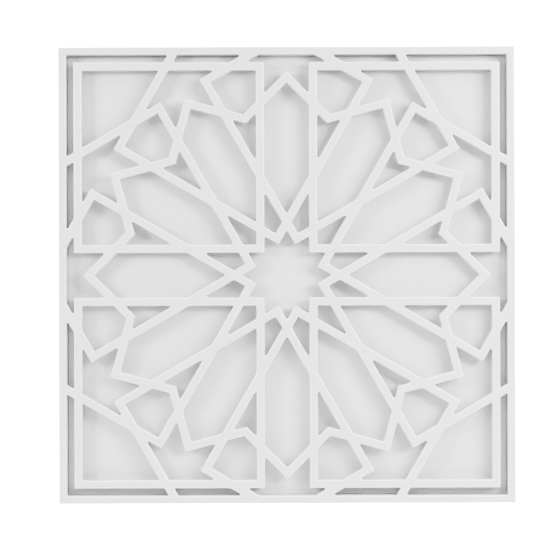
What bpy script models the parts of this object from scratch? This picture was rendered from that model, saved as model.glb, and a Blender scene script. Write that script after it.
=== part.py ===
# Fretwork wall panel: a square board pierced with a twelve-fold star rosette,
# held off a plain backing board by four mitred rims that run behind its border.
#
# Metres, +Z up. The origin is the middle of the back face, which lies flat on
# the wall. The panel stands in the XZ plane and its front faces -Y.

import math

import bpy
from mathutils import Matrix, Vector

# Overall sizes
PANEL_SIDE = 0.600
FRET_THICKNESS = 0.009
AIR_GAP = 0.006             # between the back of the fretwork and the backing board
BACKING_THICKNESS = 0.006

# The fretwork
SLAT_WIDTH = 0.0106
BORDER_WIDTH = 0.0103
BORDER_SLOT = 0.0099        # clear slot between the border and the slats beside it
PETAL_WIDTH = 0.0696        # between the centre lines of a petal's two sides
TIP_INSET = 0.0140          # from a petal's tip to the closing slats beyond it
CUTTER_RADIUS = 0.0016      # what the router leaves in the corners of an opening
FACET_TURN = 45             # degrees of such a corner, about, that one facet stands for

# The box behind the fretwork
RIM_SETBACK = 0.0004        # how much narrower than the border a rim is
JOINT_GAP = 0.0003          # between two pieces that touch

PETALS = 12
PETAL_ANGLE = 360 / PETALS

# Worked out from the sizes above
HALF_SIDE = PANEL_SIDE / 2
HALF_SLAT = SLAT_WIDTH / 2
PETAL_HALF = PETAL_WIDTH / 2
BORDER_INSIDE = HALF_SIDE - BORDER_WIDTH
CLOSING_REACH = BORDER_INSIDE - BORDER_SLOT - HALF_SLAT
TIP_REACH = CLOSING_REACH - TIP_INSET
RIM_WIDTH = BORDER_WIDTH - RIM_SETBACK
RIM_DEPTH = BACKING_THICKNESS + AIR_GAP - JOINT_GAP
FRET_BACK = -(BACKING_THICKNESS + AIR_GAP)

WHITE_LACQUER = (0.80, 0.80, 0.79, 1.0)
WHITE_BOARD = (0.78, 0.79, 0.76, 1.0)
LACQUER_ROUGHNESS = 0.45
BOARD_ROUGHNESS = 0.60


# Points of the pattern, seen in the plane of the board

def polar(reach, degrees):
    angle = math.radians(degrees)
    return Vector((reach * math.cos(angle), reach * math.sin(angle)))


def beside_axis(petal, out, left):
    """The point that far out along a petal's axis and that far to the left of it."""
    degrees = petal * PETAL_ANGLE
    return polar(out, degrees) + polar(left, degrees + 90)


def crossing(first, second):
    """Where two lines cross, each given by its normal's angle and its distance out."""
    (angle_a, reach_a), (angle_b, reach_b) = first, second
    a, b = polar(1, angle_a), polar(1, angle_b)
    across = a.x * b.y - a.y * b.x
    return Vector((reach_a * b.y - reach_b * a.y, reach_b * a.x - reach_a * b.x)) / across


def closing(petal):
    """The centre line of the slats that lie across a petal's axis, beyond its tip."""
    return (petal * PETAL_ANGLE, CLOSING_REACH)


def border(quarter):
    """The line whose slat would end at the border's inside edge."""
    return (90 * quarter, BORDER_INSIDE + HALF_SLAT)


def star_point(petal):
    """Where the sides of the two petals at 60 degrees to this one cross on its axis."""
    return polar(PETAL_HALF / math.cos(math.radians(60)), petal * PETAL_ANGLE)


def star_notch(petal):
    """The inner corner of the star, between this petal and the next."""
    return polar(PETAL_HALF * math.sqrt(2), (petal + 0.5) * PETAL_ANGLE)


def neck(petal):
    """Where this petal's left side crosses the right side of the next."""
    half_angle = math.radians(PETAL_ANGLE / 2)
    return polar(PETAL_HALF / math.sin(half_angle), (petal + 0.5) * PETAL_ANGLE)


def tip(petal):
    return polar(TIP_REACH, petal * PETAL_ANGLE)


def shoulder(petal, hand):
    """Where a petal's side meets the 45 degree slat from its tip. hand is 1 for left."""
    return beside_axis(petal, TIP_REACH - PETAL_HALF, hand * PETAL_HALF)


def side_end(petal, hand):
    """Where a petal's side stops, at the closing slats."""
    return beside_axis(petal, CLOSING_REACH, hand * PETAL_HALF)


def valley(petal):
    """Where the 45 degree slats from this petal's tip and the next one's meet."""
    reach = TIP_REACH * math.cos(math.radians(45)) / math.cos(math.radians(PETAL_ANGLE))
    return polar(reach, (petal + 0.5) * PETAL_ANGLE)


# Openings, each as the outline of centre lines of the slats round it

def star():
    outline = []
    for petal in range(PETALS):
        outline += [star_point(petal), star_notch(petal)]
    return outline


def kite(petal):
    """The small opening between the inner ends of two petals."""
    return [star_notch(petal), star_point(petal + 1), neck(petal), star_point(petal)]


def petal_field(petal):
    return [
        star_point(petal),
        neck(petal - 1),
        shoulder(petal, -1),
        tip(petal),
        shoulder(petal, 1),
        neck(petal),
    ]


def dart(petal):
    """The arrowhead between two petals."""
    return [neck(petal), shoulder(petal, 1), valley(petal), shoulder(petal + 1, -1)]


def shield(petal):
    """The six-sided opening outside a dart."""
    return [
        valley(petal),
        shoulder(petal, 1),
        side_end(petal, 1),
        crossing(closing(petal), closing(petal + 1)),
        side_end(petal + 1, -1),
        shoulder(petal + 1, -1),
    ]


def border_arrow():
    """The opening outside the petal on +X, which reaches the border."""
    left_half = [
        shoulder(0, 1),
        side_end(0, 1),
        crossing(closing(0), closing(1)),
        crossing(border(0), closing(1)),
    ]
    return [tip(0)] + left_half + mirrored(left_half, 0)[::-1]


def corner_arrow():
    """The opening outside the petal at 30 degrees."""
    return [
        tip(1),
        shoulder(1, -1),
        side_end(1, -1),
        crossing(closing(0), closing(1)),
        crossing(closing(0), closing(2)),
        crossing(closing(1), closing(2)),
        side_end(1, 1),
        shoulder(1, 1),
    ]


def corner_kite():
    """The large opening in the corner between +X and +Z."""
    return [
        crossing(closing(1), closing(2)),
        crossing(closing(0), closing(2)),
        crossing(closing(0), closing(3)),
        crossing(closing(1), closing(3)),
    ]


def corner_slot():
    """The slot that turns the corner beside the border."""
    return [
        crossing(closing(0), closing(2)),
        crossing(border(0), closing(2)),
        crossing(border(0), border(1)),
        crossing(border(1), closing(1)),
        crossing(closing(3), closing(1)),
        crossing(closing(0), closing(3)),
    ]


def side_slot():
    """The short slot beside the +X border, between two slats that run to it."""
    return [
        crossing(closing(0), closing(1)),
        crossing(border(0), closing(1)),
        crossing(border(0), closing(2)),
        crossing(closing(0), closing(2)),
    ]


def mirrored(outline, degrees):
    """The outline mirrored in the line through the middle at that angle."""
    axis = polar(1, degrees)
    return [2 * point.dot(axis) * axis - point for point in outline]


def turned(outline, degrees):
    turn = Matrix.Rotation(math.radians(degrees), 2)
    return [turn @ point for point in outline]


def openings():
    outlines = [star()]
    for petal in range(PETALS):
        outlines += [kite(petal), petal_field(petal), dart(petal), shield(petal)]
    one_sided = [corner_arrow(), side_slot()]
    quarter = [border_arrow(), corner_kite(), corner_slot()]
    quarter += one_sided + [mirrored(outline, 45) for outline in one_sided]
    for turns in range(4):
        outlines += [turned(outline, 90 * turns) for outline in quarter]
    return outlines


# The edge that the router leaves

def anticlockwise(outline):
    area = sum(a.x * b.y - a.y * b.x for a, b in zip(outline, outline[1:] + outline[:1]))
    return outline if area > 0 else outline[::-1]


def round_corner(corner, before, after):
    """An arc of the cutter's radius that touches both edges at a corner. before and
    after are unit vectors along the edges, in the direction of travel."""
    turn = math.acos(before.dot(after))
    facets = max(1, round(math.degrees(turn) / FACET_TURN))
    start = corner - before * CUTTER_RADIUS * math.tan(turn / 2)
    centre = start + Vector((-before.y, before.x)) * CUTTER_RADIUS
    sweeps = [Matrix.Rotation(turn * step / facets, 2) for step in range(facets + 1)]
    return [centre + sweep @ (start - centre) for sweep in sweeps]


def cut_edge(outline):
    """The outline moved in by half a slat. Corners of the opening keep the cutter's
    radius, and corners of the wood stay sharp."""
    points = anticlockwise(outline)
    edge = []
    for i, here in enumerate(points):
        before = (here - points[i - 1]).normalized()
        after = (points[(i + 1) % len(points)] - here).normalized()
        inward = Vector((-before.y, before.x))
        bisector = (inward + Vector((-after.y, after.x))).normalized()
        corner = here + bisector * HALF_SLAT / bisector.dot(inward)
        if inward.dot(after) > 0:
            edge += round_corner(corner, before, after)
        else:
            edge.append(corner)
    return edge


# Pieces

def paint(name, colour, roughness):
    material = bpy.data.materials.new(name)
    material.use_nodes = True
    shader = material.node_tree.nodes["Principled BSDF"]
    shader.inputs["Base Color"].default_value = colour
    shader.inputs["Roughness"].default_value = roughness
    shader.inputs["Metallic"].default_value = 0.0
    return material


def board(name, outlines, back, thickness, material, collection):
    """A flat piece that stands in the XZ plane, cut to closed outlines. Its back face
    is at Y = back and its front face is nearer the viewer."""
    curve = bpy.data.curves.new(name, "CURVE")
    curve.dimensions = "2D"
    curve.fill_mode = "BOTH"
    curve.extrude = thickness / 2
    for outline in outlines:
        spline = curve.splines.new("POLY")
        spline.points.add(len(outline) - 1)
        for point, place in zip(spline.points, outline):
            point.co = (place.x, place.y, 0, 1)
        spline.use_cyclic_u = True
    curve.materials.append(material)
    piece = bpy.data.objects.new(name, curve)
    piece.location = (0, back - thickness / 2, 0)
    piece.rotation_euler = (math.radians(90), 0, 0)
    collection.objects.link(piece)
    return piece


def square(half):
    return [Vector((x * half, y * half)) for x, y in ((-1, -1), (1, -1), (1, 1), (-1, 1))]


def rim_outline():
    """The rim behind the +X border, mitred at both ends with half a joint gap."""
    inside = HALF_SIDE - RIM_WIDTH
    short = JOINT_GAP / 2 / math.cos(math.radians(45))
    return [
        Vector((HALF_SIDE, short - HALF_SIDE)),
        Vector((HALF_SIDE, HALF_SIDE - short)),
        Vector((inside, inside - short)),
        Vector((inside, short - inside)),
    ]


def build():
    for old in list(bpy.data.objects):
        bpy.data.objects.remove(old)
    collection = bpy.data.collections.new("carved_wall_panel")
    bpy.context.scene.collection.children.link(collection)

    fret_paint = paint("white_lacquer", WHITE_LACQUER, LACQUER_ROUGHNESS)
    fret_outlines = [square(HALF_SIDE)] + [cut_edge(outline) for outline in openings()]
    board("fretwork", fret_outlines, FRET_BACK, FRET_THICKNESS, fret_paint, collection)

    for quarter, name in enumerate(("rim_right", "rim_top", "rim_left", "rim_bottom")):
        rim_paint = paint(name + "_paint", WHITE_LACQUER, LACQUER_ROUGHNESS)
        outline = turned(rim_outline(), 90 * quarter)
        board(name, [outline], 0, RIM_DEPTH, rim_paint, collection)

    board_paint = paint("white_board", WHITE_BOARD, BOARD_ROUGHNESS)
    backing = square(HALF_SIDE - RIM_WIDTH - JOINT_GAP)
    board("backing_board", [backing], 0, BACKING_THICKNESS, board_paint, collection)


build()
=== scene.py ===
"""Carved wall panel: the finish of every piece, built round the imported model.

A square sheet of fine fibreboard is pierced with a twelve-petalled star rosette, so that
only thin slats and a plain border are left. Four mitred rims hold it off a plain backing
board. All of it is white: sprayed lacquer on the fretwork, brushed paint on the rims and
rolled paint on the board. Metres, +X to the viewer's right, +Z up, and the front faces -Y.
"""

import math

import bmesh
import bpy
import numpy as np
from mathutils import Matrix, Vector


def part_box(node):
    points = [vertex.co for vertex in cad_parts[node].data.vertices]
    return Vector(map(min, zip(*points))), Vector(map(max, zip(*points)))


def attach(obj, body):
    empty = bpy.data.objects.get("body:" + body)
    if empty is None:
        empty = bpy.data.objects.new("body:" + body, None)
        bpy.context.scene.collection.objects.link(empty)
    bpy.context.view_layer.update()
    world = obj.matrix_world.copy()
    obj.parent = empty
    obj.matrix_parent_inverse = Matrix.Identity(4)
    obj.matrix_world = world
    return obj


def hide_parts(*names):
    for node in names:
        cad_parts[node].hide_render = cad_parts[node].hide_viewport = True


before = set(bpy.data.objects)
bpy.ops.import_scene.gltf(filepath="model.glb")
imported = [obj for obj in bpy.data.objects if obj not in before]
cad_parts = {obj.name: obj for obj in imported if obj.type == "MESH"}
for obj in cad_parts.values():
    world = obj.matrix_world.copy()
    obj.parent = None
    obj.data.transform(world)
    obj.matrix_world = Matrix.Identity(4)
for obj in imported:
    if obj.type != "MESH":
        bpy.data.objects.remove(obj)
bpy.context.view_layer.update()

# Sizes of the fretwork's pattern
SLAT_WIDTH = 0.0106
BORDER_WIDTH = 0.0103
BORDER_SLOT = 0.0099        # clear slot between the border and the slats beside it
PETAL_WIDTH = 0.0696        # between the centre lines of a petal's two sides
TIP_INSET = 0.0140          # from a petal's tip to the closing slats beyond it
PETAL_ANGLE = 30            # degrees from one petal to the next

# Radii that the cutter, the sander and the paint leave
CUTTER_RADIUS = 0.0016      # corners of an opening, seen from the front
SLAT_CORNER = 0.0012        # corners of the fretwork's wood, seen from the front
RIM_CORNER = 0.00015
BOARD_CORNER = 0.00055      # of the backing board
FRONT_EASE = 0.0019         # front edges of the fretwork
BACK_EASE = 0.0003          # and its back edges
PLAIN_EASE = 0.0004         # all edges of the rims and the backing board
SHARPEST = 0.00002          # a corner that the ease has taken down to a point
GLUE_LINE = 0.00002         # half of what is left between two mitres
CORNER_STEPS = 6            # facets of a corner seen from the front
EASE_STEPS = 6              # facets of an eased front edge
BACK_STEPS = 2              # and of a back edge

# Places of the boards, from the frame
HALF_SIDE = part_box("fretwork")[1].x
HALF_SLAT = SLAT_WIDTH / 2
BORDER_INSIDE = HALF_SIDE - BORDER_WIDTH

# Reach of each family of slats: how far its centre lines pass from the middle
PETAL_SIDES = PETAL_WIDTH / 2
CLOSING = BORDER_INSIDE - BORDER_SLOT - HALF_SLAT
TIP_SLATS = (CLOSING - TIP_INSET) * math.cos(math.radians(45))
BORDER = BORDER_INSIDE + HALF_SLAT

# The camera, from the pixels of a 550 x 550 picture
IMAGE_SIDE = 550
PIXELS_PER_METRE = 762.1    # on the front of the fretwork
CENTRE_RIGHT = 11.9         # pixels that the panel's middle is right of the picture's
CAMERA_DISTANCE = 1.50      # from the front of the fretwork
CAMERA_ROLL = 0.003         # radians
SENSOR = 36                 # millimetres

# The studio
FLOOR_DROP = 0.45           # of the floor below the panel's lower edge
FLOOR_RADIUS = 1.3
BACKDROP = 6.0              # strength at which the tone curve gives full white
FILL_OVERHEAD = 1.88        # strength of the fill from straight above
FILL_ROUND = 0.10           # and of the even fill from all sides

# Colours
WHITE_LACQUER = (0.806, 0.805, 0.822, 1.0)
# darker than the other whites: painted shade in the slots beside the border
SHADED_RIM_WHITE = (0.700, 0.700, 0.702, 1.0)
WHITE_BOARD = (0.782, 0.782, 0.784, 1.0)
# colour of the eased arris: a painted highlight
PAINTED_HIGHLIGHT_WHITE = (0.97, 0.97, 0.98, 1.0)
BOARD_PRIMER = (0.70, 0.69, 0.66)
FLOOR_PAINT = (0.88, 0.88, 0.87, 1.0)
STUDIO_WHITE = (1.0, 1.0, 1.0, 1.0)

# Marks in the paint and the wood: roughly how many of each there are in a metre
CLOUDS = 11.0
GLOSS_PATCHES = 70.0
GRIT_CELLS = 90.0
BOARD_FLECKS = 260.0
BRUSH_STROKES = 900.0
FIBRES = 1400.0
CUTTER_RINGS = 7000.0       # radians of their wave in a metre of depth

GRIT_REACH = 0.06           # radius of a speck, in cells
GRIT_FREE = 0.82            # share of the cells with no speck
STROKE_SCALE = 0.02         # of the strokes' pattern along their length

# How a cut edge differs from the face
WALL_POWER = 6.0            # the higher, the less of the arris counts as wall
ARRIS_START = 0.05          # sine of the tilt where the arris begins
ARRIS_FULL = 0.35           # and where the painted highlight is full
RING_HEIGHT = 0.25          # of the cutter's rings, against the fibre's
GRAIN_HEIGHT = 1.5          # of fibre and rings, against the paint's skin
WALL_ROUGHER = 0.18
ARRIS_SMOOTHER = 0.08
PRIMER_ROUGHER = 0.15


# Outlines: each wall is the direction that it faces, in degrees, and its reach from the
# middle in that direction. The air is on the left as the walls are followed round. All
# slats of the rosette lie at multiples of 15 degrees.

def beyond(angle, reach):
    """The outer side of a slat."""
    return (angle, reach + HALF_SLAT)


def within(angle, reach):
    """The inner side of a slat, or the border's inside."""
    return (angle + 180, HALF_SLAT - reach)


def star():
    """The open middle, between the inner sides of all the petals' slats."""
    walls = []
    for axis in range(0, 360, PETAL_ANGLE):
        walls += [within(axis + 60, PETAL_SIDES), within(axis - 30, PETAL_SIDES)]
    return walls


def petal(axis):
    """A long opening between two parallel slats, with a point at each end."""
    return [
        beyond(axis - 60, PETAL_SIDES), beyond(axis + 60, PETAL_SIDES),
        within(axis - 90, PETAL_SIDES), within(axis - 45, TIP_SLATS),
        within(axis + 45, TIP_SLATS), within(axis + 90, PETAL_SIDES),
    ]


def kite(between):
    """The small opening at the star, on the line between two petals."""
    return [
        beyond(between - 45, PETAL_SIDES), beyond(between + 45, PETAL_SIDES),
        within(between - 75, PETAL_SIDES), within(between + 75, PETAL_SIDES),
    ]


def dart(between):
    """The opening between two petals, as far as their tip slats, which cross there."""
    return [
        beyond(between - 75, PETAL_SIDES), beyond(between + 75, PETAL_SIDES),
        within(between + 30, TIP_SLATS), within(between - 30, TIP_SLATS),
    ]


def shield(between):
    """The opening beyond that crossing, out to the closing slats."""
    return [
        beyond(between - 30, TIP_SLATS), beyond(between + 30, TIP_SLATS),
        beyond(between + 75, PETAL_SIDES), within(between - 15, CLOSING),
        within(between + 15, CLOSING), beyond(between - 75, PETAL_SIDES),
    ]


def arrow(axis):
    """The opening beyond a petal's tip. Beyond the four upright and level petals it
    runs out to the border."""
    to_border = [within(axis, BORDER)] if axis % 90 == 0 else []
    return [
        beyond(axis + 45, TIP_SLATS), beyond(axis - 45, TIP_SLATS),
        within(axis - 90, PETAL_SIDES), beyond(axis, CLOSING), within(axis - 30, CLOSING),
        *to_border,
        within(axis + 30, CLOSING), beyond(axis, CLOSING), within(axis + 90, PETAL_SIDES),
    ]


def corner_kite(corner):
    """The large opening in a corner, inside the slats beside the border."""
    return [
        within(corner - 45, CLOSING), within(corner + 45, CLOSING),
        beyond(corner - 15, CLOSING), beyond(corner + 15, CLOSING),
    ]


def corner_slot(corner):
    """The slot that turns the corner beside the border."""
    return [
        within(corner - 45, BORDER), within(corner + 45, BORDER),
        beyond(corner - 15, CLOSING), beyond(corner + 45, CLOSING),
        beyond(corner - 45, CLOSING), beyond(corner + 15, CLOSING),
    ]


def side_slots(side):
    """The two short slots beside one side of the border."""
    return [
        [beyond(side, CLOSING), beyond(side + 30, CLOSING),
         within(side, BORDER), within(side + 60, CLOSING)],
        [beyond(side, CLOSING), within(side - 60, CLOSING),
         within(side, BORDER), beyond(side - 30, CLOSING)],
    ]


def square(half):
    """A square board's own edge."""
    return [(0, half), (-90, half), (-180, half), (-270, half)]


def fretwork_walls():
    """The outlines of the fretwork: its own edge and its 77 openings."""
    outlines = [square(HALF_SIDE), star()]
    for axis in range(0, 360, PETAL_ANGLE):
        between = axis + PETAL_ANGLE / 2
        outlines += [petal(axis), kite(between), dart(between), shield(between), arrow(axis)]
    for side in range(0, 360, 90):
        outlines += [corner_kite(side + 45), corner_slot(side + 45), *side_slots(side)]
    return outlines


def rim_walls(side):
    """A straight rim behind one side of the border. The mitres at its ends meet the next
    rims' as glued joints do, so that no light comes through them."""
    inner, outer = (corner.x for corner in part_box("rim_right"))
    return [
        (side, outer), (side - 135, -GLUE_LINE),
        (side + 180, -inner), (side + 135, -GLUE_LINE),
    ]


# Boards with eased edges

def corner_points(walls, follow, eased, wood_radius):
    """Each corner as an arc of CORNER_STEPS facets, once the walls are moved into the
    wood by eased. follow is the wall after each wall. Returns places and the directions
    that the walls face there.

    An arc's middle is where the two walls, moved by the arc's radius r, cross, and a
    point of it is that middle less r times the facing direction there. In a corner of
    the opening r is the cutter's radius and grows with eased. On a corner of the wood
    it is negative and shrinks with eased, down to a sharp point.
    """
    facing, reach = np.radians(walls[:, 0]), walls[:, 1]
    turn = np.radians((walls[follow, 0] - walls[:, 0] + 180) % 360 - 180)
    on_wood = np.minimum(eased - wood_radius, -SHARPEST)
    radius = np.where(turn > 0, CUTTER_RADIUS + eased, on_wood)
    first, second = reach - eased + radius, reach[follow] - eased + radius
    middle = np.stack([
        first * np.sin(facing + turn) - second * np.sin(facing),
        second * np.cos(facing) - first * np.cos(facing + turn),
    ], axis=1) / np.sin(turn)[:, None]
    sweep = facing[:, None] + turn[:, None] * np.linspace(0, 1, CORNER_STEPS + 1)
    directions = np.stack([np.cos(sweep), np.sin(sweep)], axis=2)
    return middle[:, None] - radius[:, None, None] * directions, directions


def edge_profile(front, back, front_ease, back_ease):
    """The section of an edge as rows of inset, depth and tilt. Tilt runs from 0 on the
    front face through 90 degrees on the wall to 180 on the back face, along a quarter
    circle at each end: inset is r (1 - sin tilt), and depth is r (1 - |cos tilt|)."""
    front_tilt = np.radians(np.linspace(0, 90, EASE_STEPS + 1))
    back_tilt = np.radians(np.linspace(90, 180, BACK_STEPS + 1))
    inset = np.append(
        front_ease * (1 - np.sin(front_tilt)),
        back_ease * (1 - np.sin(back_tilt)),
    )
    depth = np.append(
        front + front_ease * (1 - np.cos(front_tilt)),
        back - back_ease * (1 + np.cos(back_tilt)),
    )
    return inset, depth, np.append(front_tilt, back_tilt)


def filled(flat_points, ahead):
    """Triangles between closed loops in a plane, turned anticlockwise. ahead is the
    point that follows each point."""
    shape = bmesh.new()
    points = [shape.verts.new((x, z, 0)) for x, z in flat_points]
    edges = [shape.edges.new((points[here], points[there])) for here, there in enumerate(ahead)]
    shape.verts.index_update()
    bmesh.ops.triangle_fill(shape, use_beauty=True, use_dissolve=False, edges=edges)
    triangles = np.array([[corner.index for corner in face.verts] for face in shape.faces])
    shape.free()
    a, b, c = (flat_points[triangles[:, corner]] for corner in range(3))
    clockwise = np.cross(b - a, c - a) < 0
    triangles[clockwise] = triangles[clockwise][:, ::-1]
    return triangles


def eased_board(name, outlines, box, front_ease, back_ease, wood_radius, material):
    """A flat board, pierced by its outlines, whose edges are quarter rounds.

    Its surface is a grid: one parameter runs round the outlines, the other over the
    edge's section. The facing direction at each point is (facing sin tilt, -cos tilt).
    """
    walls = np.array([wall for outline in outlines for wall in outline])
    corners_in = [len(outline) for outline in outlines]
    starts = np.cumsum([0] + corners_in[:-1])
    follow = np.arange(len(walls)) + 1
    follow[starts + corners_in - 1] = starts

    per_corner = CORNER_STEPS + 1
    count = len(walls) * per_corner
    ahead = np.arange(count) + 1
    ahead[(starts + corners_in) * per_corner - 1] = starts * per_corner

    places, normals, cut = [], [], []
    inset, depth, tilt = edge_profile(box[0].y, box[1].y, front_ease, back_ease)
    for eased, y, lean in zip(inset, depth, tilt):
        flat, facing = corner_points(walls, follow, eased, wood_radius)
        x, z = flat.reshape(-1, 2).T
        out_x, out_z = facing.reshape(-1, 2).T * np.sin(lean)
        places.append(np.stack([x, np.full(count, y), z], axis=1))
        normals.append(np.stack([out_x, np.full(count, -np.cos(lean)), out_z], axis=1))
        cut.append(np.full(count, np.sin(lean)))

    level = np.arange(len(tilt) - 1)[:, None] * count
    here, there = level + np.arange(count), level + ahead
    strip = np.stack([here, there, there + count, here + count], axis=2).reshape(-1, 4)
    last = count * (len(tilt) - 1)
    front_cap = filled(places[0][:, [0, 2]], ahead)
    back_cap = filled(places[-1][:, [0, 2]], ahead)[:, ::-1] + last
    faces = strip.tolist() + front_cap.tolist() + back_cap.tolist()

    mesh = bpy.data.meshes.new(name)
    mesh.from_pydata(np.concatenate(places), [], faces)
    cut_edge = mesh.attributes.new("cut_edge", "FLOAT", "POINT")
    cut_edge.data.foreach_set("value", np.concatenate(cut))
    mesh.shade_smooth()
    mesh.normals_split_custom_set_from_vertices(np.concatenate(normals))
    mesh.materials.append(material)
    piece = bpy.data.objects.new(name, mesh)
    bpy.context.scene.collection.objects.link(piece)
    return piece


# Shader node groups

def new_group(name, inputs, outputs):
    """A shader node group with named number, colour or vector sockets."""
    kinds = {"number": "NodeSocketFloat", "colour": "NodeSocketColor",
             "vector": "NodeSocketVector"}
    group = bpy.data.node_groups.new(name, "ShaderNodeTree")
    for socket, kind in inputs.items():
        group.interface.new_socket(socket, in_out="INPUT", socket_type=kinds[kind])
    for socket, kind in outputs.items():
        group.interface.new_socket(socket, in_out="OUTPUT", socket_type=kinds[kind])
    return group, add(group, "NodeGroupInput").outputs, add(group, "NodeGroupOutput").inputs


def add(tree, kind, **settings):
    node = tree.nodes.new(kind)
    for setting, value in settings.items():
        setattr(node, setting, value)
    return node


def feed(tree, socket, value):
    """A socket takes another node's output, or a plain value."""
    if isinstance(value, bpy.types.NodeSocket):
        tree.links.new(value, socket)
    else:
        socket.default_value = value


def math_node(tree, operation, *values):
    node = add(tree, "ShaderNodeMath", operation=operation)
    for socket, value in zip(node.inputs, values):
        feed(tree, socket, value)
    return node.outputs[0]


def noise(tree, vector, scale, detail=2.0):
    node = add(tree, "ShaderNodeTexNoise")
    feed(tree, node.inputs["Vector"], vector)
    feed(tree, node.inputs["Scale"], scale)
    node.inputs["Detail"].default_value = detail
    return node.outputs["Fac"]


def spread(tree, value, low, high, from_low=0.3, from_high=0.7):
    """The value, carried from one range to another and clamped."""
    node = add(tree, "ShaderNodeMapRange")
    for socket, number in zip(node.inputs, (value, from_low, from_high, low, high)):
        feed(tree, socket, number)
    return node.outputs[0]


def tinted(tree, colour, factor):
    """The colour times a number."""
    node = add(tree, "ShaderNodeVectorMath", operation="SCALE")
    feed(tree, node.inputs[0], colour)
    feed(tree, node.inputs["Scale"], factor)
    return node.outputs[0]


def blended(tree, factor, first, second):
    """The first colour where the factor is 0, and the second where it is 1."""
    node = add(tree, "ShaderNodeMix", data_type="RGBA")
    feed(tree, node.inputs["Factor"], factor)
    feed(tree, node.inputs["A"], first)
    feed(tree, node.inputs["B"], second)
    return node.outputs["Result"]


def red_of(tree, colour):
    node = add(tree, "ShaderNodeSeparateColor")
    feed(tree, node.inputs[0], colour)
    return node.outputs[0]


def paint_film_group():
    """A coat of paint: cloudy shade and gloss, a fine dimpled skin and a few specks of
    grit caught in it."""
    group, given, made = new_group(
        "paint film",
        {"Colour": "colour", "Cloud Depth": "number", "Skin Scale": "number",
         "Roughness": "number", "Gloss Spread": "number", "Grit": "number"},
        {"Colour": "colour", "Roughness": "number", "Height": "number"},
    )
    place = add(group, "ShaderNodeTexCoord").outputs["Object"]
    clouds = spread(group, noise(group, place, CLOUDS, detail=3.0), -1.0, 1.0)
    shade = math_node(group, "MULTIPLY_ADD", clouds, given["Cloud Depth"], 1.0)
    feed(group, made["Colour"], tinted(group, given["Colour"], shade))

    patches = spread(group, noise(group, place, GLOSS_PATCHES), -1.0, 1.0)
    feed(group, made["Roughness"],
         math_node(group, "MULTIPLY_ADD", patches, given["Gloss Spread"], given["Roughness"]))

    skin = noise(group, place, given["Skin Scale"], detail=1.5)
    cells = add(group, "ShaderNodeTexVoronoi")
    feed(group, cells.inputs["Vector"], place)
    cells.inputs["Scale"].default_value = GRIT_CELLS
    speck = spread(group, cells.outputs["Distance"], 1.0, 0.0, from_low=0.0, from_high=GRIT_REACH)
    chosen = math_node(group, "GREATER_THAN", red_of(group, cells.outputs["Color"]), GRIT_FREE)
    grit = math_node(group, "MULTIPLY", math_node(group, "MULTIPLY", speck, chosen), given["Grit"])
    feed(group, made["Height"], math_node(group, "ADD", skin, grit))
    return group


def cut_edge_group():
    """A routed edge under paint. The wall is fibre that drinks the paint and dries rougher
    and a little darker, partly its own tone and partly painted shade that deepens the small
    openings, with faint rings from the cutter that run level with the face. The eased
    arris in front of it is smoother, and its whiter colour is a painted highlight.

    The attribute cut_edge is the sine of the edge's tilt, 0 on the face and 1 on the
    wall. The wall's mask is that sine to the power WALL_POWER, and the arris is what is
    tilted but isn't wall.
    """
    group, given, made = new_group(
        "cut edge",
        {"Colour": "colour", "Roughness": "number", "Height": "number", "Bare": "number",
         "Rubbed": "number"},
        {"Colour": "colour", "Roughness": "number", "Height": "number"},
    )
    edge = add(group, "ShaderNodeAttribute", attribute_name="cut_edge").outputs["Fac"]
    wall = math_node(group, "POWER", edge, WALL_POWER)
    tilted = spread(group, edge, 0.0, 1.0, from_low=ARRIS_START, from_high=ARRIS_FULL)
    arris = math_node(group, "MULTIPLY", tilted, math_node(group, "SUBTRACT", 1.0, wall))

    place = add(group, "ShaderNodeTexCoord").outputs["Object"]
    depth = add(group, "ShaderNodeSeparateXYZ")
    feed(group, depth.inputs[0], place)
    fibre = noise(group, place, FIBRES, detail=3.0)
    wave = math_node(group, "MULTIPLY", depth.outputs["Y"], CUTTER_RINGS)
    rings = math_node(group, "SINE", wave)
    grain = math_node(group, "MULTIPLY_ADD", rings, RING_HEIGHT, fibre)
    raised = math_node(group, "MULTIPLY", grain, GRAIN_HEIGHT)
    feed(group, made["Height"],
         math_node(group, "MULTIPLY_ADD", raised, wall, given["Height"]))

    dried = math_node(group, "MULTIPLY_ADD", wall, WALL_ROUGHER, given["Roughness"])
    feed(group, made["Roughness"],
         math_node(group, "MULTIPLY_ADD", arris, -ARRIS_SMOOTHER, dried))

    # the walls are darkened: partly the paint's own thirst, partly painted shade in the small
    # openings
    thirst_and_shade_mask = math_node(group, "MULTIPLY", wall, fibre)
    darkened = math_node(group, "MULTIPLY", thirst_and_shade_mask, given["Bare"])
    painted = tinted(group, given["Colour"], math_node(group, "SUBTRACT", 1.0, darkened))
    # the arris is whitened as a painted highlight
    painted_highlight = math_node(group, "MULTIPLY", arris, given["Rubbed"])
    feed(group, made["Colour"], blended(group, painted_highlight, painted, PAINTED_HIGHLIGHT_WHITE))
    return group


def brush_marks_group():
    """Long shallow strokes, drawn out along one direction by Stretch."""
    group, given, made = new_group(
        "brush marks",
        {"Height": "number", "Stretch": "vector", "Depth": "number"},
        {"Height": "number"},
    )
    place = add(group, "ShaderNodeTexCoord").outputs["Object"]
    mapping = add(group, "ShaderNodeMapping")
    feed(group, mapping.inputs["Vector"], place)
    feed(group, mapping.inputs["Scale"], given["Stretch"])
    strokes = noise(group, mapping.outputs[0], BRUSH_STROKES, detail=3.0)
    feed(group, made["Height"],
         math_node(group, "MULTIPLY_ADD", strokes, given["Depth"], given["Height"]))
    return group


# Materials

PAINT_FILM = paint_film_group()
CUT_EDGE = cut_edge_group()
BRUSH_MARKS = brush_marks_group()


def placed(tree, group, **values):
    """A group in a material. Socket names are given with _ for a space."""
    node = add(tree, "ShaderNodeGroup", node_tree=group)
    for socket, value in values.items():
        feed(tree, node.inputs[socket.replace("_", " ")], value)
    return node.outputs


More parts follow.
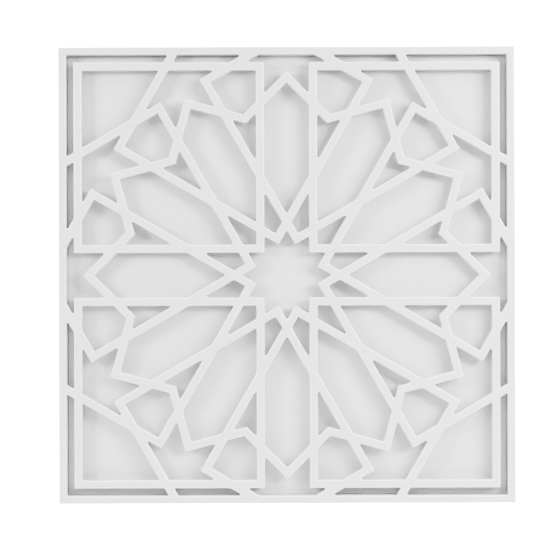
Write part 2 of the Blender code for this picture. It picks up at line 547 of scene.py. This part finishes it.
def new_material(name):
    """A material, its node tree and the inputs of its Principled BSDF."""
    material = bpy.data.materials.new(name)
    material.use_nodes = True
    tree = material.node_tree
    return material, tree, tree.nodes["Principled BSDF"].inputs


def bumped(tree, height, distance, strength):
    """The surface's direction, tilted by a height of up to distance."""
    node = add(tree, "ShaderNodeBump")
    feed(tree, node.inputs["Height"], height)
    node.inputs["Distance"].default_value = distance
    node.inputs["Strength"].default_value = strength
    return node.outputs[0]


def sprayed_lacquer():
    """Satin white lacquer on the fretwork."""
    material, tree, shader = new_material("sprayed_white_lacquer")
    film = placed(tree, PAINT_FILM, Colour=WHITE_LACQUER, Cloud_Depth=0.008, Skin_Scale=520.0,
                  Roughness=0.22, Gloss_Spread=0.05, Grit=2.0)
    # walls darkened partly as painted shade; arris whitened as a painted highlight
    edge = placed(tree, CUT_EDGE, Colour=film["Colour"], Roughness=film["Roughness"],
                  Height=film["Height"], Bare=0.42, Rubbed=1.0)
    feed(tree, shader["Base Color"], edge["Colour"])
    feed(tree, shader["Roughness"], edge["Roughness"])
    feed(tree, shader["Normal"], bumped(tree, edge["Height"], distance=0.00006, strength=0.6))
    return material


def brushed_rim_paint(name, stretch):
    """A duller white on the rims, brushed along their length. Its darkness is painted shade
    in the slots beside the border. stretch is less than 1 in the direction of the strokes."""
    material, tree, shader = new_material(name)
    film = placed(tree, PAINT_FILM, Colour=SHADED_RIM_WHITE, Cloud_Depth=0.014, Skin_Scale=420.0,
                  Roughness=0.50, Gloss_Spread=0.06, Grit=3.0)
    # walls darkened partly as painted shade; arris whitened as a painted highlight
    edge = placed(tree, CUT_EDGE, Colour=film["Colour"], Roughness=film["Roughness"],
                  Height=film["Height"], Bare=0.30, Rubbed=0.4)
    strokes = placed(tree, BRUSH_MARKS, Height=edge["Height"], Stretch=stretch, Depth=1.6)
    feed(tree, shader["Base Color"], edge["Colour"])
    feed(tree, shader["Roughness"], edge["Roughness"])
    feed(tree, shader["Normal"], bumped(tree, strokes["Height"], distance=0.00007, strength=0.7))
    return material


def rolled_board_paint():
    """Matt white, rolled on the front of the backing board. Its hidden back has only a
    thin coat of primer, through which the board's fibre shows."""
    material, tree, shader = new_material("rolled_white_board")
    film = placed(tree, PAINT_FILM, Colour=WHITE_BOARD, Cloud_Depth=0.010, Skin_Scale=330.0,
                  Roughness=0.60, Gloss_Spread=0.05, Grit=3.0)
    # walls darkened partly as painted shade; arris whitened as a painted highlight
    edge = placed(tree, CUT_EDGE, Colour=film["Colour"], Roughness=film["Roughness"],
                  Height=film["Height"], Bare=0.30, Rubbed=0.4)
    place = add(tree, "ShaderNodeTexCoord").outputs["Object"]
    facing = add(tree, "ShaderNodeSeparateXYZ")
    feed(tree, facing.inputs[0], add(tree, "ShaderNodeNewGeometry").outputs["Normal"])
    # 1 where the surface faces the wall
    behind = math_node(tree, "GREATER_THAN", facing.outputs["Y"], 0.5)
    fibre = noise(tree, place, BOARD_FLECKS, detail=6.0)
    flecks = spread(tree, fibre, 0.93, 1.05, from_low=0.35, from_high=0.65)
    primer = tinted(tree, BOARD_PRIMER, flecks)
    feed(tree, shader["Base Color"], blended(tree, behind, edge["Colour"], primer))
    feed(tree, shader["Roughness"],
         math_node(tree, "MULTIPLY_ADD", behind, PRIMER_ROUGHER, edge["Roughness"]))
    feed(tree, shader["Normal"], bumped(tree, edge["Height"], distance=0.00008, strength=0.7))
    return material


# Pieces

def settle(piece, node):
    """A piece takes the place of its node, which is hidden, and hangs from the root body."""
    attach(piece, "root")
    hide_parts(node)


def build_panel():
    """The fretwork in front, four rims behind its border, and the backing board."""
    fretwork = eased_board("pierced_fretwork", fretwork_walls(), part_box("fretwork"),
                           FRONT_EASE, BACK_EASE, SLAT_CORNER, sprayed_lacquer())
    settle(fretwork, "fretwork")

    level = brushed_rim_paint("rim_paint_level", (STROKE_SCALE, 1.0, 1.0))
    upright = brushed_rim_paint("rim_paint_upright", (1.0, 1.0, STROKE_SCALE))
    for side, place in ((0, "right"), (90, "top"), (180, "left"), (270, "bottom")):
        paint = upright if side % 180 == 0 else level
        rim = eased_board("painted_rim_" + place, [rim_walls(side)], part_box("rim_" + place),
                          PLAIN_EASE, PLAIN_EASE, RIM_CORNER, paint)
        settle(rim, "rim_" + place)

    board_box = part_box("backing_board")
    board = eased_board("painted_backing", [square(board_box[1].x)], board_box,
                        PLAIN_EASE, PLAIN_EASE, BOARD_CORNER, rolled_board_paint())
    settle(board, "backing_board")


# Studio

def softbox(name, place, size, watts):
    """A square white light, aimed at the middle of the panel's back."""
    lamp = bpy.data.lights.new(name, "AREA")
    lamp.shape = "SQUARE"
    lamp.size = size
    lamp.energy = watts
    light = bpy.data.objects.new(name, lamp)
    light.location = place
    light.rotation_euler = light.location.to_track_quat("Z", "Y").to_euler()
    light.visible_camera = False
    bpy.context.scene.collection.objects.link(light)


def build_lights():
    """Softboxes to the left and right of the panel and a little above it, and one behind
    it that only reaches its back."""
    softbox("softbox_right", place=(0.9, -0.95, 0.5), size=0.30, watts=6.0)
    softbox("softbox_right_far", place=(1.3, -0.8, 0.38), size=0.40, watts=11.3)
    softbox("softbox_left_far", place=(-1.3, -0.8, 0.38), size=0.40, watts=11.3)
    softbox("softbox_behind", place=(0.3, 1.3, 0.8), size=0.60, watts=12.0)


def build_world():
    """White to the camera, and a soft fill on the panel. The fill's strength is
    FILL_ROUND from all sides, plus FILL_OVERHEAD times the upward part of the direction
    it comes from."""
    world = bpy.data.worlds.new("studio")
    world.use_nodes = True
    tree = world.node_tree
    tree.nodes.clear()

    seen = add(tree, "ShaderNodeBackground")
    seen.inputs["Color"].default_value = STUDIO_WHITE
    seen.inputs["Strength"].default_value = BACKDROP

    fill = add(tree, "ShaderNodeBackground")
    fill.inputs["Color"].default_value = STUDIO_WHITE
    direction = add(tree, "ShaderNodeSeparateXYZ")
    feed(tree, direction.inputs[0], add(tree, "ShaderNodeTexCoord").outputs["Generated"])
    overhead = math_node(tree, "MAXIMUM", direction.outputs["Z"], 0.0)
    feed(tree, fill.inputs["Strength"],
         math_node(tree, "MULTIPLY_ADD", overhead, FILL_OVERHEAD, FILL_ROUND))

    mix = add(tree, "ShaderNodeMixShader")
    feed(tree, mix.inputs[0], add(tree, "ShaderNodeLightPath").outputs["Is Camera Ray"])
    feed(tree, mix.inputs[1], fill.outputs[0])
    feed(tree, mix.inputs[2], seen.outputs[0])
    feed(tree, add(tree, "ShaderNodeOutputWorld").inputs[0], mix.outputs[0])
    bpy.context.scene.world = world


def build_floor():
    """A pale round floor, well below the panel."""
    mesh = bpy.data.meshes.new("floor")
    shape = bmesh.new()
    bmesh.ops.create_circle(shape, cap_ends=True, radius=FLOOR_RADIUS, segments=96)
    shape.to_mesh(mesh)
    shape.free()
    floor = bpy.data.objects.new("floor", mesh)
    floor.location = (0, 0, -HALF_SIDE - FLOOR_DROP)
    material, _, shader = new_material("pale_floor")
    shader["Base Color"].default_value = FLOOR_PAINT
    shader["Roughness"].default_value = 0.8
    mesh.materials.append(material)
    bpy.context.scene.collection.objects.link(floor)


def build_camera():
    """A level camera in front of the panel, shifted so that the panel stands a little
    right of the picture's middle."""
    lens = bpy.data.cameras.new("camera")
    lens.sensor_width = SENSOR
    lens.lens = CAMERA_DISTANCE * PIXELS_PER_METRE * SENSOR / IMAGE_SIDE
    lens.shift_x = -CENTRE_RIGHT / IMAGE_SIDE
    camera = bpy.data.objects.new("camera", lens)
    camera.location = (0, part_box("fretwork")[0].y - CAMERA_DISTANCE, 0)
    camera.rotation_euler = (math.radians(90), CAMERA_ROLL, 0)
    bpy.context.scene.collection.objects.link(camera)
    bpy.context.scene.camera = camera


build_camera()
build_panel()
build_world()
build_lights()
build_floor()
bpy.context.scene.view_settings.view_transform = "AgX"
bpy.context.scene.view_settings.look = "AgX - Very High Contrast"
